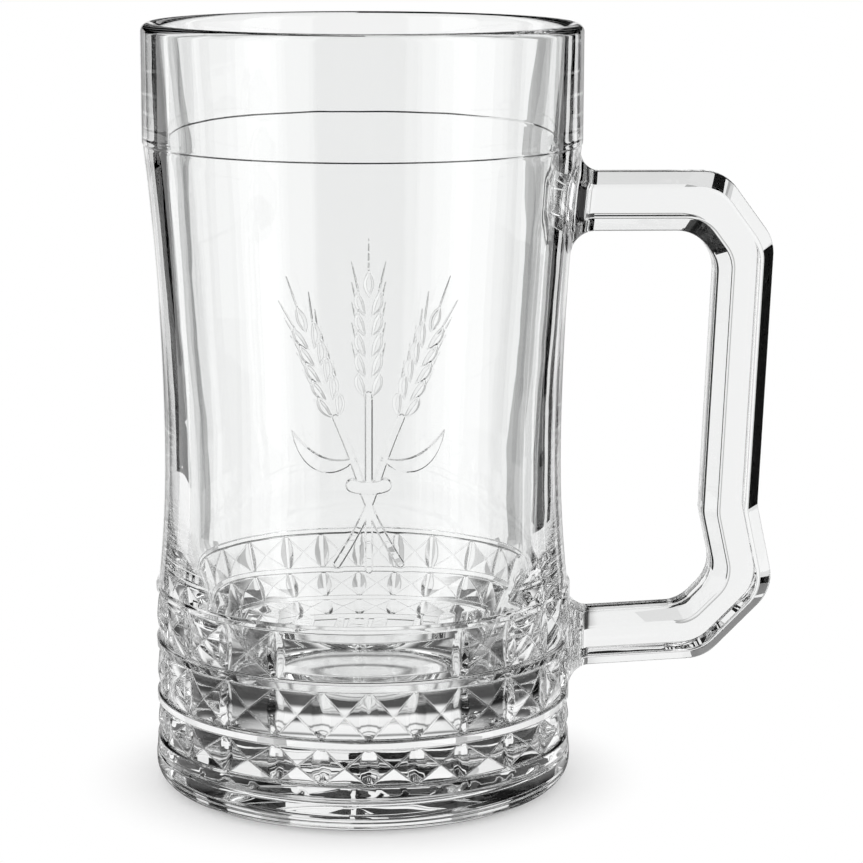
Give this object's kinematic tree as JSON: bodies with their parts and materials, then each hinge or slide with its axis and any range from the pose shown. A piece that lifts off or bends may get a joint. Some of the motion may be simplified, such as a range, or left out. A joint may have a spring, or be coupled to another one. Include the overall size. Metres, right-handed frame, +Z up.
{
  "type": "beer mug",
  "caption": "Waisted pressed-glass beer mug with a band of diamonds, a heavy foot and a bevelled bar handle.",
  "frame": {"origin": "centre of the ring that the mug stands on, on the axis of the bowl", "axes": "+Z up along the axis of the bowl, +X towards the handle, -Y towards the plain panel and the relief"},
  "size_m": [0.1279, 0.0882, 0.155],
  "materials": {
    "glass": "clear, fire-polished"
  },
  "bodies": {
    "root": {"bowl": "glass", "handle": "glass"}
  },
  "joints": []
}
